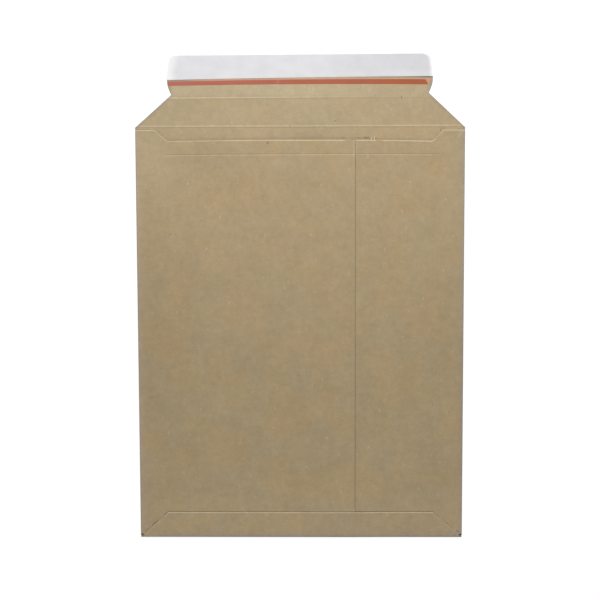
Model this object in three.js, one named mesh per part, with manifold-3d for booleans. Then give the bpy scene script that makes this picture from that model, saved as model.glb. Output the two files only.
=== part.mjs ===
// A rigid mailing envelope of grey-brown solid board, lying on its rear panel with the closure flap open.
// Millimetres. X runs across the envelope, +Y towards the flap, +Z up from the surface that it lies on.
// While it is being built, y = 0 is the bottom fold. The exported group is centred on the whole length.

import * as THREE from 'three';
import { mergeVertices } from 'three/addons/utils/BufferGeometryUtils.js';
import Module from 'manifold-3d';

const wasm = await Module();
wasm.setup();

// board
const BOARD = 0.6;
const WIDTH = 250;
const HEIGHT = 320;
const HALF = WIDTH / 2;

// the pocket's hollow: a slit at the side folds, sprung open towards the middle of the mouth
const EDGE_GAP = 0.4;
const MOUTH_RISE = 4.2;
const BOW_POWER = 1.5;
const SPRING_STARTS = 20;
const SPRING_FULL = 220;
const FOLD_SEGMENTS = 6;
const PANEL_STEP = 12;
const LENGTH_STEPS = 16;
const WRAP_STEPS = 24;

// the side seam: the wide left panel is glued over the edge of the narrow right one
const SEAM_X = 41.7;
const SEAM_OVERLAP = 8;

// the mouth: shoulders beside a recess with slanted ends and eased corners
const SHOULDER_DROP = 2.4;
const RECESS_DROP = 10.3;
const RECESS_TOP = [-109.8, 108.5];
const RECESS_FLOOR = [-101.0, 101.2];
const RECESS_EASE = 2.0;
const CORNER_DROP = 0.75;

// the relief crease across the front panels
const RELIEF_DROP = 20.4;
const RELIEF = [-103.8, 105.2];
const RELIEF_WIDTH = 1.1;
const RELIEF_DEPTH = 0.18;

// the bottom flap, folded over from the rear panel and glued to the front panels
const BOTTOM_FLAP = 20.15;
const BOTTOM_FLAP_TOP = [-104.2, 101.1];
const BOTTOM_CORNER = 124;
const BOTTOM_CORNER_RISE = 1.8;
const SEAM_RAMP = 28;
const BOND = 0.05;
const CORNER_HOLE_RADIUS = 0.7;
const CORNER_HOLE_RISE = 2.7;
const CORNER_HOLE_SIDES = 8;

// the closure flap: a trapezoid, a notch on each side, and an end strip that carries tape and adhesive
const FLAP_LENGTH = 53.9;
const FLAP_ROOT = 124.1;
const NOTCH_AT = 24.6;
const NOTCH_HALF = 97.3;
const NOTCH_CURVE = 31.0;
const STRIP_AT = 34.8;
const STRIP_HALF = 100.4;
const STRIP_STRAIGHT = 38;
const STRIP_END_HALF = 98.8;
const STRIP_CORNER = 4.5;
const END_SLANT = 0.0064;
const ROOT_BEAD_AT = 0.5;
const SPINE_CREASE_AT = 21.7;
const BEAD_WIDTH = 0.9;
const BEAD_HEIGHT = 0.15;

// the strips on the flap's inner face
const TAPE_NEAR = 31.5;
const TAPE_WIDTH = 4;
const TAPE_LEFT = -98.6;
const TAPE_RIGHT = [96.2, 99.9];
const TAPE_THICK = 0.1;
const LINER_NEAR = 36.5;
const LINER_SLANT = 0.0122;
const LINER_OVERHANG = 0.3;
const LINER_THICK = 0.12;
const ADHESIVE_NEAR = 39;
const ADHESIVE_WIDTH = 12;
const ADHESIVE_HALF = 95;
const ADHESIVE_THICK = 0.08;

const SLIT_MIDDLE = BOARD + EDGE_GAP / 2;
const FRONT_UNDER = BOARD + EDGE_GAP;
const FRONT_TOP = FRONT_UNDER + BOARD;
const SLEEVE_START = BOARD * 1.5;
const LINER_END = FLAP_LENGTH + LINER_OVERHANG + END_SLANT * (STRIP_END_HALF - STRIP_CORNER);
const LENGTH = HEIGHT + LINER_END;
const TALL = 30;

function solidOf(geometry) {
  const bare = geometry.clone();
  bare.deleteAttribute('normal');
  bare.deleteAttribute('uv');
  const merged = mergeVertices(bare);
  const vertProperties = new Float32Array(merged.attributes.position.array);
  const triVerts = new Uint32Array(merged.index.array);
  return new wasm.Manifold(new wasm.Mesh({ numProp: 3, vertProperties, triVerts }));
}

function geometryOf(solid) {
  const mesh = solid.getMesh();
  const geometry = new THREE.BufferGeometry();
  geometry.setAttribute('position', new THREE.BufferAttribute(new Float32Array(mesh.vertProperties), 3));
  geometry.setIndex(new THREE.BufferAttribute(new Uint32Array(mesh.triVerts), 1));
  geometry.computeVertexNormals();
  return geometry;
}

function shapeFrom(points) {
  return new THREE.Shape(points.map(([u, v]) => new THREE.Vector2(u, v)));
}

// an outline whose corners are curves that begin and end a reach away from each point
function easedShape(points, reach) {
  const corners = points.map(([u, v]) => new THREE.Vector2(u, v));
  const towards = (corner, other) => other.clone().sub(corner).setLength(reach).add(corner);
  const shape = new THREE.Shape();
  corners.forEach((corner, i) => {
    const start = towards(corner, corners.at(i - 1));
    const end = towards(corner, corners.at((i + 1) % corners.length));
    if (i === 0) {
      shape.moveTo(start.x, start.y);
    } else {
      shape.lineTo(start.x, start.y);
    }
    shape.quadraticCurveTo(corner.x, corner.y, end.x, end.y);
  });
  return shape;
}

// an outline in the XY plane, raised from low to high
function plate(shape, low, high) {
  const geometry = new THREE.ExtrudeGeometry(shape, {
    depth: high - low,
    bevelEnabled: false,
    curveSegments: FOLD_SEGMENTS,
  });
  return geometry.translate(0, 0, low);
}

// a profile drawn with y across and z up, drawn out along X
function barAlongX(shape, start, end, steps) {
  const geometry = new THREE.ExtrudeGeometry(shape, { depth: end - start, steps, bevelEnabled: false });
  const turn = new THREE.Matrix4().makeBasis(
    new THREE.Vector3(0, 1, 0),
    new THREE.Vector3(0, 0, 1),
    new THREE.Vector3(1, 0, 0),
  );
  return geometry.applyMatrix4(turn).translate(start, 0, 0);
}

function clamp01(value) {
  return Math.min(1, Math.max(0, value));
}

function smooth(value) {
  const t = clamp01(value);
  return t * t * (3 - 2 * t);
}

// how far the front panels stand off at a place, beyond the slit at the folds
function spring(x, y) {
  const across = clamp01(1 - (x / HALF) ** 2) ** BOW_POWER;
  const along = smooth((y - SPRING_STARTS) / (SPRING_FULL - SPRING_STARTS));
  return MOUTH_RISE * across * along;
}

// the left panel rises by one board towards the edge that it is glued over
function lift(x) {
  return BOARD * clamp01((x + HALF) / (SEAM_X - SEAM_OVERLAP + HALF));
}

// the bottom flap follows that rise, then slopes down past the seam
function liftPastSeam(x) {
  return x < SEAM_X ? lift(x) : BOARD * clamp01(1 - (x - SEAM_X) / SEAM_RAMP);
}

// raises what lies above the rear panel by a height that depends on the place
function raiseFront(geometry, heightAt, fullFrom) {
  const position = geometry.attributes.position;
  for (let i = 0; i < position.count; i += 1) {
    const share = clamp01((position.getZ(i) - BOARD) / (fullFrom - BOARD));
    const height = heightAt(position.getX(i), position.getY(i));
    position.setZ(i, position.getZ(i) + share * height);
  }
  return geometry;
}

// places along a panel from one x to another, both ends included
function stations(from, to) {
  const count = Math.max(1, Math.round(Math.abs(to - from) / PANEL_STEP));
  return Array.from({ length: count + 1 }, (_, i) => from + ((to - from) * i) / count);
}

// a half circle round a side fold, from the upper level to the lower one on the right, back up on the left
function foldArc(centreX, radius, side) {
  return Array.from({ length: FOLD_SEGMENTS - 1 }, (_, i) => {
    const angle = Math.PI / 2 - (Math.PI * (i + 1)) / FOLD_SEGMENTS;
    return [centreX + side * radius * Math.cos(angle), SLIT_MIDDLE + side * radius * Math.sin(angle)];
  });
}

// the folded sheet cut across: one board all round a slit, two boards thick at the glued seam
function sleeveSection() {
  const outer = BOARD + EDGE_GAP / 2;
  const inner = EDGE_GAP / 2;
  const bend = HALF - outer;
  const hidden = SEAM_X - SEAM_OVERLAP;
  const shape = shapeFrom([
    ...stations(-bend, hidden).map((x) => [x, FRONT_TOP + lift(x)]),
    [SEAM_X, FRONT_TOP + BOARD],
    ...stations(SEAM_X, bend).map((x) => [x, FRONT_TOP]),
    ...foldArc(bend, outer, 1),
    [bend, 0],
    [-bend, 0],
    ...foldArc(-bend, outer, -1),
  ].reverse());
  const slit = [
    ...stations(-bend, hidden).map((x) => [x, FRONT_UNDER + lift(x)]),
    ...stations(hidden, bend).map((x) => [x, FRONT_UNDER]),
    ...foldArc(bend, inner, 1),
    [bend, BOARD],
    [-bend, BOARD],
    ...foldArc(-bend, inner, -1),
  ];
  shape.holes.push(new THREE.Path(slit.map(([x, z]) => new THREE.Vector2(x, z))));
  return shape;
}

// the sleeve of panels between the bottom fold and the shoulders of the mouth
function sleeve() {
  const end = HEIGHT - SHOULDER_DROP;
  const geometry = new THREE.ExtrudeGeometry(sleeveSection(), {
    depth: end - SLEEVE_START,
    steps: LENGTH_STEPS,
    bevelEnabled: false,
  });
  geometry.rotateX(Math.PI / 2).translate(0, end, 0);
  return solidOf(raiseFront(geometry, spring, FRONT_UNDER));
}

// the single rear panel between the shoulders and the flap's fold
function rearTab() {
  const below = HEIGHT - SHOULDER_DROP - BOARD;
  const bend = HALF - BOARD - EDGE_GAP / 2;
  const shape = shapeFrom([
    [-bend, below],
    [bend, below],
    [bend, HEIGHT - SHOULDER_DROP],
    [HALF, HEIGHT - SHOULDER_DROP],
    [HALF, HEIGHT - CORNER_DROP],
    [FLAP_ROOT, HEIGHT],
    [-FLAP_ROOT, HEIGHT],
    [-HALF, HEIGHT - CORNER_DROP],
    [-HALF, HEIGHT - SHOULDER_DROP],
    [-bend, HEIGHT - SHOULDER_DROP],
  ]);
  return solidOf(plate(shape, 0, BOARD));
}

// what the recess takes out of the front panels, out to the sides above the shoulders
function recessCutter() {
  const shape = easedShape([
    [RECESS_FLOOR[0], HEIGHT - RECESS_DROP],
    [RECESS_FLOOR[1], HEIGHT - RECESS_DROP],
    [RECESS_TOP[1], HEIGHT - SHOULDER_DROP],
    [HALF, HEIGHT - SHOULDER_DROP],
    [HALF, HEIGHT + TALL],
    [-HALF, HEIGHT + TALL],
    [-HALF, HEIGHT - SHOULDER_DROP],
    [RECESS_TOP[0], HEIGHT - SHOULDER_DROP],
  ], RECESS_EASE);
  return solidOf(plate(shape, SLIT_MIDDLE, TALL));
}

// a shallow valley pressed across a front panel, whose face lies one board lower right of the seam
function reliefCutter(from, to, top) {
  const y = HEIGHT - RELIEF_DROP;
  const shape = shapeFrom([
    [y, top - RELIEF_DEPTH],
    [y + RELIEF_WIDTH, top + RELIEF_DEPTH],
    [y - RELIEF_WIDTH, top + RELIEF_DEPTH],
  ]);
  const steps = Math.round((to - from) / PANEL_STEP);
  return barAlongX(shape, from, to, steps);
}

function reliefCutters() {
  const overLeft = (x, y) => lift(x) + spring(x, y);
  const left = raiseFront(reliefCutter(RELIEF[0], SEAM_X, FRONT_TOP), overLeft, FRONT_UNDER);
  const right = raiseFront(reliefCutter(SEAM_X, RELIEF[1], FRONT_TOP), spring, FRONT_UNDER);
  return [solidOf(left), solidOf(right)];
}

// the rear panel's turn round the bottom and the flap that lies on the front panels
function bottomWrap() {
  const radius = (FRONT_TOP + BOARD) / 2;
  const shape = new THREE.Shape();
  shape.moveTo(BOTTOM_FLAP, FRONT_TOP - BOND);
  shape.lineTo(BOTTOM_FLAP, FRONT_TOP + BOARD);
  shape.lineTo(radius, FRONT_TOP + BOARD);
  shape.absarc(radius, radius, radius, Math.PI / 2, (Math.PI * 3) / 2, false);
  shape.lineTo(radius, BOARD);
  shape.absarc(radius, radius, radius - BOARD, (Math.PI * 3) / 2, Math.PI / 2, true);
  shape.lineTo(radius, FRONT_TOP - BOND);
  const points = shape.extractPoints(FOLD_SEGMENTS).shape.map((p) => [p.x, p.y]);
  const bar = barAlongX(shapeFrom(points), -BOTTOM_CORNER, BOTTOM_CORNER, WRAP_STEPS);
  return solidOf(raiseFront(bar, liftPastSeam, FRONT_TOP - BOND));
}

// the bottom flap seen from the front: slanted ends that leave the corners of the bag open
function bottomOutline() {
  const shape = shapeFrom([
    [-BOTTOM_CORNER, -BOARD],
    [BOTTOM_CORNER, -BOARD],
    [BOTTOM_CORNER, BOTTOM_CORNER_RISE],
    [BOTTOM_FLAP_TOP[1], BOTTOM_FLAP + BOND],
    [BOTTOM_FLAP_TOP[0], BOTTOM_FLAP + BOND],
    [-BOTTOM_CORNER, BOTTOM_CORNER_RISE],
  ]);
  return solidOf(plate(shape, -BOARD, TALL));
}

function cornerHole(side) {
  const radius = CORNER_HOLE_RADIUS;
  const geometry = new THREE.CylinderGeometry(radius, radius, TALL, CORNER_HOLE_SIDES);
  geometry.rotateX(Math.PI / 2);
  geometry.translate(side * (BOTTOM_CORNER - CORNER_HOLE_RADIUS), CORNER_HOLE_RISE, SLIT_MIDDLE + TALL / 2);
  return solidOf(geometry);
}

// one sheet: rear panel, both front panels and the bottom flap, joined where they are glued
function pocketSolid() {
  const wrap = bottomWrap().intersect(bottomOutline());
  let solid = sleeve().add(rearTab()).add(wrap).subtract(recessCutter());
  for (const cutter of [...reliefCutters(), cornerHole(-1), cornerHole(1)]) {
    solid = solid.subtract(cutter);
  }
  return solid;
}

// the whole flap is cut slightly out of square: from its notch on it leans up to the right
function lean(x, y) {
  return y + END_SLANT * x * clamp01(y / NOTCH_AT);
}

// the flap's outline seen from the front, with y from the fold; grow widens the end strip for the liner
function flapOutline(grow) {
  const corner = STRIP_CORNER + grow;
  const half = STRIP_END_HALF + grow;
  const end = FLAP_LENGTH + grow;
  const shape = new THREE.Shape();
  shape.moveTo(FLAP_ROOT, 0);
  shape.lineTo(NOTCH_HALF + grow, NOTCH_AT);
  shape.quadraticCurveTo(STRIP_HALF + grow, NOTCH_CURVE, STRIP_HALF + grow, STRIP_AT);
  shape.lineTo(STRIP_HALF + grow, STRIP_STRAIGHT);
  shape.lineTo(half, end - corner);
  shape.absarc(half - corner, end - corner, corner, 0, Math.PI / 2, false);
  shape.absarc(corner - half, end - corner, corner, Math.PI / 2, Math.PI, false);
  shape.lineTo(-STRIP_HALF - grow, STRIP_STRAIGHT);
  shape.lineTo(-STRIP_HALF - grow, STRIP_AT);
  shape.quadraticCurveTo(-STRIP_HALF - grow, NOTCH_CURVE, -NOTCH_HALF - grow, NOTCH_AT);
  shape.lineTo(-FLAP_ROOT, 0);
  const points = shape.extractPoints(FOLD_SEGMENTS).shape;
  return shapeFrom(points.map((p) => [p.x, lean(p.x, p.y)]));
}

// the flap's blank between two heights, kept where it lies inside a band
function cutFromBlank(grow, band, low, high) {
  const blank = solidOf(plate(flapOutline(grow), low, high));
  return blank.intersect(solidOf(plate(shapeFrom(band), -TALL, TALL)));
}

// how a crease lifts both faces of the board: a bead on the inner one, a channel on the outer one
function crease(at, level) {
  return [-0.5, -0.25, 0, 0.25, 0.5].map((t) => [
    at + t * BEAD_WIDTH,
    level + BEAD_HEIGHT * Math.cos(Math.PI * t) ** 2,
  ]);
}

// the flap cut across, from its fold to its end, creased at the fold and at the spine
function flapSolid() {
  const far = LINER_END + BOARD;
  const profile = shapeFrom([
    [0, 0],
    ...crease(ROOT_BEAD_AT, 0),
    ...crease(SPINE_CREASE_AT, 0),
    [far, 0],
    [far, BOARD],
    ...crease(SPINE_CREASE_AT, BOARD).reverse(),
    ...crease(ROOT_BEAD_AT, BOARD).reverse(),
    [0, BOARD],
  ]);
  const blank = solidOf(plate(flapOutline(0), -BOARD, TALL));
  return solidOf(barAlongX(profile, -HALF, HALF, 1)).intersect(blank);
}

// the tear tape begins just inside the flap's left edge and ends on the slant before the right one
function tapeSolid() {
  const near = (x) => TAPE_NEAR + END_SLANT * x;
  const [nearEnd, farEnd] = TAPE_RIGHT;
  const band = [
    [TAPE_LEFT, near(TAPE_LEFT)],
    [nearEnd, near(nearEnd)],
    [farEnd, near(farEnd) + TAPE_WIDTH],
    [TAPE_LEFT, near(TAPE_LEFT) + TAPE_WIDTH],
  ];
  return cutFromBlank(0, band, BOARD, BOARD + TAPE_THICK);
}

// the strip of pressure-sensitive adhesive, hidden under the liner
function adhesiveSolid() {
  const near = (x) => ADHESIVE_NEAR + END_SLANT * x;
  const band = [
    [-ADHESIVE_HALF, near(-ADHESIVE_HALF)],
    [ADHESIVE_HALF, near(ADHESIVE_HALF)],
    [ADHESIVE_HALF, near(ADHESIVE_HALF) + ADHESIVE_WIDTH],
    [-ADHESIVE_HALF, near(-ADHESIVE_HALF) + ADHESIVE_WIDTH],
  ];
  return cutFromBlank(0, band, BOARD, BOARD + ADHESIVE_THICK);
}

// the release liner lies on the adhesive and just covers the rest of the end strip
function linerSolid() {
  const low = BOARD + ADHESIVE_THICK;
  const far = LINER_END + BOARD;
  const band = [
    [-HALF, LINER_NEAR - LINER_SLANT * HALF],
    [HALF, LINER_NEAR + LINER_SLANT * HALF],
    [HALF, far],
    [-HALF, far],
  ];
  return cutFromBlank(LINER_OVERHANG, band, low, low + LINER_THICK);
}

const boardMaterial = new THREE.MeshStandardMaterial({ color: 0xa8906a, roughness: 0.9, metalness: 0 });
const tapeMaterial = new THREE.MeshStandardMaterial({ color: 0xbc6448, roughness: 0.45, metalness: 0 });
const linerMaterial = new THREE.MeshStandardMaterial({ color: 0xe4e4ea, roughness: 0.55, metalness: 0 });
const adhesiveMaterial = new THREE.MeshStandardMaterial({ color: 0xe8dfc0, roughness: 0.3, metalness: 0 });

function part(name, solid, material) {
  const mesh = new THREE.Mesh(geometryOf(solid), material);
  mesh.name = name;
  return mesh;
}

const closure = new THREE.Group();
closure.position.y = HEIGHT;
closure.add(part('closure_flap', flapSolid(), boardMaterial));
closure.add(part('tear_tape', tapeSolid(), tapeMaterial));
closure.add(part('adhesive_strip', adhesiveSolid(), adhesiveMaterial));
closure.add(part('release_liner', linerSolid(), linerMaterial));

const envelope = new THREE.Group();
envelope.position.y = -LENGTH / 2;
envelope.add(part('pocket', pocketSolid(), boardMaterial));
envelope.add(closure);

export default envelope;
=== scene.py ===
"""A rigid mailing envelope of grey-brown solid board, lying open on its rear panel.

The sheet is modelled as the blank that it was cut from. Each stretch of the blank is a patch of
its middle surface. The patches share their points where the blank is continuous, and the whole
is then given its thickness. Lengths are in millimetres until a mesh is made, with y measured
from the bottom fold.
"""

import math

import bpy
import numpy as np
from mathutils import Matrix, Vector

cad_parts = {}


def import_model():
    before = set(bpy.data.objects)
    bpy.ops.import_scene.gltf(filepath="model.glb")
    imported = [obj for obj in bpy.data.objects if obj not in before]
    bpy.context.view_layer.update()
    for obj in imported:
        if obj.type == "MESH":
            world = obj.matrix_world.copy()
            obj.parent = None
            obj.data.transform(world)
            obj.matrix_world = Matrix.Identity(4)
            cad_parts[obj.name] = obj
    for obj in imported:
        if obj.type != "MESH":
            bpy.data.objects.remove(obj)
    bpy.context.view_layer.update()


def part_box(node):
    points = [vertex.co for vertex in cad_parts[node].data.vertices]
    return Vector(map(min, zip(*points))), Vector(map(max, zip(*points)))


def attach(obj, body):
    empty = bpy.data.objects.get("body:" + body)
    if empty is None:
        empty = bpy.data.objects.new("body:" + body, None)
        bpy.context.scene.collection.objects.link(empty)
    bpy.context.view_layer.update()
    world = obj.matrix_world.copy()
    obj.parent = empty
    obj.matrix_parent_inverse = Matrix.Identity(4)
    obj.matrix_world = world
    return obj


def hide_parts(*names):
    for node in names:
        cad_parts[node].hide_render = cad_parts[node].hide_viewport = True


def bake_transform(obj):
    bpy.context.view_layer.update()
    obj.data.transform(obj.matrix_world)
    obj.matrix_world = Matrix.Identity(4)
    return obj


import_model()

MM = 0.001

# the frame: the bottom fold, the flap's fold and the hinge that the flap turns on
POCKET_LOW, POCKET_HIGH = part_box("pocket")
BOTTOM_Y = POCKET_LOW.y
HEIGHT = (POCKET_HIGH.y - POCKET_LOW.y) / MM
HALF = POCKET_HIGH.x / MM

# board, the air between two panels at a fold, and the share of the thickness left at a cut edge
BOARD = 0.6
EDGE_GAP = 0.4
CRUSH = 0.62

# the mesh: its usual step, the rows just inside a cut edge, how finely places on the blank are
# told apart, with a shift that keeps them off the borders of the rounding, and its sharp edges
MESH_STEP = 3.0
RIM_GAP = 0.18
RIM_BAND = 0.8
KEYS_PER_MM = 200.0
KEY_SHIFT = 0.137
SHARP_ANGLE = math.radians(40)

# the side folds, the columns beside them, and the spring of the front panels
FOLD_RADIUS = (BOARD + EDGE_GAP) / 2
BEND_X = HALF - FOLD_RADIUS - BOARD / 2
FRONT_Z = BOARD * 1.5 + EDGE_GAP
FOLD_STEPS = 8
BEND_COLUMNS = (0.7, 1.6)
MOUTH_RISE = 4.2
BOW_POWER = 1.5
SPRING_STARTS = 20.0
SPRING_FULL = 220.0

# the panels' unevenness, and where it sets in beside the side folds and above the bottom flap
PANEL_UNEVEN = 0.30
REAR_SHARE = 0.6
UNEVEN_BESIDE = (2.0, 22.0)
UNEVEN_ABOVE = 40.0

# the glued side seam: the upper panel's edge and the hidden edge of the panel under it
SEAM_X = 41.7
HIDDEN_X = 33.7

# the mouth: the shoulders beside it, and the recess with its slanted ends
SHOULDER = HEIGHT - 2.65
RECESS = HEIGHT - 11.0
RECESS_ARCH = 1.2
RECESS_LEFT = (-109.8, -101.0)
RECESS_RIGHT = (100.7, 108.1)
RECESS_ROUND = 1.6
RECESS_STEP = 0.7

# the rows below the mouth, as shares of its zone and as distances from its edge
MOUTH_ZONE = HEIGHT - 13.5
MOUTH_ROWS = np.linspace(0.16, 0.84, 5)
TOP_ROWS = (1.35, 1.1, 0.8, 0.55, 0.36, RIM_GAP, 0.0)

# the rear panel's upper corners, which stand out beside the closure flap
FLAP_ROOT = 124.1
TAB_CORNER = 0.75
TAB_STARTS = (SHOULDER - 0.4, SHOULDER + 0.2)

# two torn nibs at the mouth, as places and lengths, and the columns at their sides
NIBS = ((54.1, 3.2), (56.4, 3.6))
NIB_WIDTH = 0.55
NIB_COLUMNS = (0.45, 0.6)

# a pinched fold across the front panel's upper right corner
DENT = ((124.4, HEIGHT - 2.6), (119.7, HEIGHT - 8.0))
DENT_WIDTH = 0.65
DENT_HEIGHT = 0.22
DENT_COLUMNS = (112.0, 122.4, 0.9)

# the relief crease across the front panels, and the rows across it
RELIEF_Y = HEIGHT - 21.35
RELIEF_ARCH = 0.8
RELIEF_SLANT = 0.002
RELIEF = (-103.8, 105.2)
RELIEF_FADE = 0.8
RELIEF_WIDTH = 1.3
RELIEF_DEPTH = 0.25
RELIEF_ROWS = (
    RELIEF_Y - RELIEF_WIDTH * 0.8,
    RELIEF_Y + RELIEF_ARCH + RELIEF_WIDTH * 0.7,
    RELIEF_WIDTH / 6,
)

# the bottom flap
WRAP_ROOT = 124.0
WRAP_ROOT_RISE = 1.8
WRAP_TOP = 20.1
WRAP_FLARE = 0.7
WRAP_FLARE_WIDTH = 3.0
WRAP_TOP_HALF = (103.4, 102.2)
WRAP_RADIUS = 0.8
WRAP_Y = 1.1
WRAP_STEPS = 8
WRAP_MESH_STEP = MESH_STEP * 0.6
SEAM_RAMP = 28.0

# the rows above the bottom fold, and the front panels' cut-away bottom corners
BOTTOM_ZONE = 6.0
BOTTOM_ROWS = (0.0, 0.06, 0.2, 0.45, 0.7)
CORNER_OPEN = 2.6
CORNER_OPEN_X = 123.2
CORNER_OPEN_RUN = 0.6
CORNER_OPEN_TURN = (0.35, 0.9)

# the closure flap, with y from its fold
FLAP_END = 53.9
FLAP_MESH_STEP = MESH_STEP * 0.7
FLAP_UNEVEN = 0.16
FLAP_UNEVEN_FROM = (1.5, 20.0)
NOTCH_Y = 24.6
NOTCH_ROWS = (NOTCH_Y, NOTCH_Y + 0.8, NOTCH_Y + 2.0)
NOTCH_HALF = 97.3
NOTCH_CURVE = 31.0
STRIP_Y = 34.8
STRIP_HALF = 100.4
STRIP_STRAIGHT = 38.0
STRIP_END_HALF = 98.8
STRIP_CORNER = 4.5
CORNER_STEPS = 8
END_SLANT = 0.0064

# the raised beads of the flap's two creases
ROOT_BEAD = -0.1
ROOT_SLANT = 0.0018
SPINE_CREASE = 21.7
SPINE_SLANT = END_SLANT * SPINE_CREASE / NOTCH_Y
BEAD_WIDTH = 1.7
BEAD_HEIGHT = 0.20
SPINE_SHARE = (0.30, 0.50)

# the tear tape
TAPE_NEAR = 31.15
TAPE_SLANT = 0.0037
TAPE_ARCH = 0.75
TAPE_CORE = 3.45
TAPE_WIDENING = 0.0038
TAPE_BORDER = 0.8
TAPE_LEFT = -99.6
TAPE_RIGHT = (96.2, 99.9)
TAPE_THICK = 0.1
TAPE_RIPPLE = 0.03
TAPE_RIPPLE_LENGTHS = (5.3, 17.0)
TAPE_MARK = -16.8
TAPE_MARK_WIDTH = 0.8

# the release liner, whose near edge curls up to the right
LINER_NEAR = 36.45
LINER_SLANT = 0.0122
LINER_ARCH = 0.45
LINER_OVERHANG = 0.3
# how far the painted light at the liner's left and right ends reaches in
LINER_FADE = (9.0, 2.2)
LINER_THICK = 0.12
LINER_GAP = 0.02
LINER_UNEVEN = 0.16
LINER_MESH_STEP = 1.5
LINER_CURL = 0.55
LINER_CURL_FROM = (20.0, 100.0)
LINER_CURL_SHARE = 0.28
LINER_LIFT = 0.15
LINER_LIFT_SHARE = 0.2

# the adhesive under it
ADHESIVE_NEAR = 39.0
ADHESIVE_WIDTH = 12.0
ADHESIVE_HALF = 95.0
ADHESIVE_THICK = 0.08
ADHESIVE_ROUND = 1.5
ADHESIVE_SLOPE = (1.5, 2.0)

# how much of the pale cut edge, partly a painted highlight on edges that face the light, shows from
# each height on, at the left and at the right: beside the bottom flap, along its top edge, along the
# mouth, on its slanted ends and on the shoulders
PALE_EDGES = (
    (0.0, 0.4, 0.65),
    (WRAP_TOP - RIM_BAND - 0.1, 0.8, 0.8),
    (WRAP_TOP + 1.0, 0.62, 1.0),
    (HEIGHT - 9.6, 0.6, 0.6),
    (SHOULDER - 0.4, 1.0, 1.3),
)
PALE_RUN = (-60.0, -10.0)
PALE_FADE = 0.8
PALE_HIDDEN = 0.95
NO_PALE_EDGE = (57.4, 62.6, 0.6)

# wear on cut edges; wear with painted shade on the side folds to the left and to the right, and
# on the bottom fold
EDGE_CORE = 0.2
GREY_SHARE = 0.4
GREY_WIDTH = (0.3, 2.8)
SIDE_WEAR_AND_SHADE_FROM = 0.3
SIDE_WEAR_AND_SHADE_WIDTH = (6.0, 4.5)
BOTTOM_WEAR_AND_SHADE = (0.5, 5.5)

# painted light: the flap, and the rear panel above the mouth, painted paler as if they met more light;
# it sets in at the mouth and again past the flap's spine
PALER_AT_MOUTH = 0.41
PALER_MOUTH_RUN = 4.0
PALER_AT_SPINE = 0.59
PALER_SPINE_RUN = 2.0

# the camera, fitted to the photograph's perspective
VIEW_SIZE = 600
FOCAL_PIXELS = 2285.8
SENSOR = 36.0
CAMERA_DISTANCE = 1.7528
CAMERA_TARGET = (-0.00038, -0.00068, 0.0)
CAMERA_TILT = math.radians(9.055)
CAMERA_YAW = math.radians(0.829)
CAMERA_ROLL = math.radians(-0.179)


def smooth(share):
    return share * share * (3.0 - 2.0 * share)


def ramp(value, start, stop):
    return np.clip((value - start) / (stop - start), 0.0, 1.0)


def eased(value, start, stop):
    return smooth(ramp(value, start, stop))


def within(value, start, stop, run):
    """One from start to stop, and fading to zero over a short run inside each of them."""
    return ramp(value, start, start + run) * ramp(-value, -stop, run - stop)


def spring(x, y):
    """How far the front panels stand off, beyond the slit at the folds."""
    across = np.clip(1.0 - (x / HALF) ** 2, 0.0, 1.0) ** BOW_POWER
    return MOUTH_RISE * across * eased(y, SPRING_STARTS, SPRING_FULL)


def lift(x):
    """The left panel rises by one board towards the edge that it is glued over."""
    return BOARD * ramp(x, -HALF, HIDDEN_X)


def lift_past_seam(x):
    """The bottom flap follows that rise, then slopes down past the seam."""
    return np.where(x < SEAM_X, lift(x), BOARD * (1.0 - ramp(x, SEAM_X, SEAM_X + SEAM_RAMP)))


def waves(seed, height, shortest, longest, count=7):
    """A gentle unevenness as a few seeded waves across the plane, between zero and height."""
    rng = np.random.default_rng(seed)
    turn = rng.uniform(0.0, math.tau, count)
    length = rng.uniform(shortest, longest, count)
    phase = rng.uniform(0.0, math.tau, count)

    def at(x, y):
        total = sum(
            np.sin(math.tau * (x * math.cos(t) + y * math.sin(t)) / w + p)
            for t, w, p in zip(turn, length, phase)
        )
        return height * (0.5 + 0.5 * np.clip(total / math.sqrt(2.0 * count), -1.0, 1.0))

    return at


panel_waves = waves(seed=11, height=PANEL_UNEVEN, shortest=45.0, longest=150.0)
flap_waves = waves(seed=23, height=FLAP_UNEVEN, shortest=30.0, longest=90.0)
liner_waves = waves(seed=37, height=LINER_UNEVEN, shortest=6.0, longest=26.0, count=11)


def bead(y, centre, width):
    """The section of a crease, one at its crown and zero beyond its width."""
    t = np.clip((y - centre) / width, -0.5, 0.5)
    return np.cos(math.pi * t) ** 2


def spaced(start, stop, step, extra=(), fine=()):
    """Stations from start to stop about a step apart, with extra ones, and closer in fine stretches."""
    count = max(1, round(abs(stop - start) / step))
    stations = list(np.linspace(start, stop, count + 1))
    for low, high, gap in fine:
        stations = [v for v in stations if not low - gap < v < high + gap]
        stations += list(np.linspace(low, high, max(2, round((high - low) / gap) + 1)))
    crowd = step * 0.12
    stations = [v for v in stations if all(abs(v - e) > crowd for e in extra)]
    return np.unique(np.round(stations + list(extra), 4))


def rim(edge, inward=-1):
    """Stations at a cut edge and just inside it."""
    return edge, edge + inward * RIM_GAP, edge + inward * RIM_BAND


def both_sides(stations):
    return (*stations, *(-v for v in stations))


def bowed_line(x, middle, slant, arch):
    """A line across the envelope that leans up to the right and is arched over the mouth's width."""
    return middle + slant * x + arch * (1.0 - (x / RECESS_RIGHT[0]) ** 2)


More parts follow.
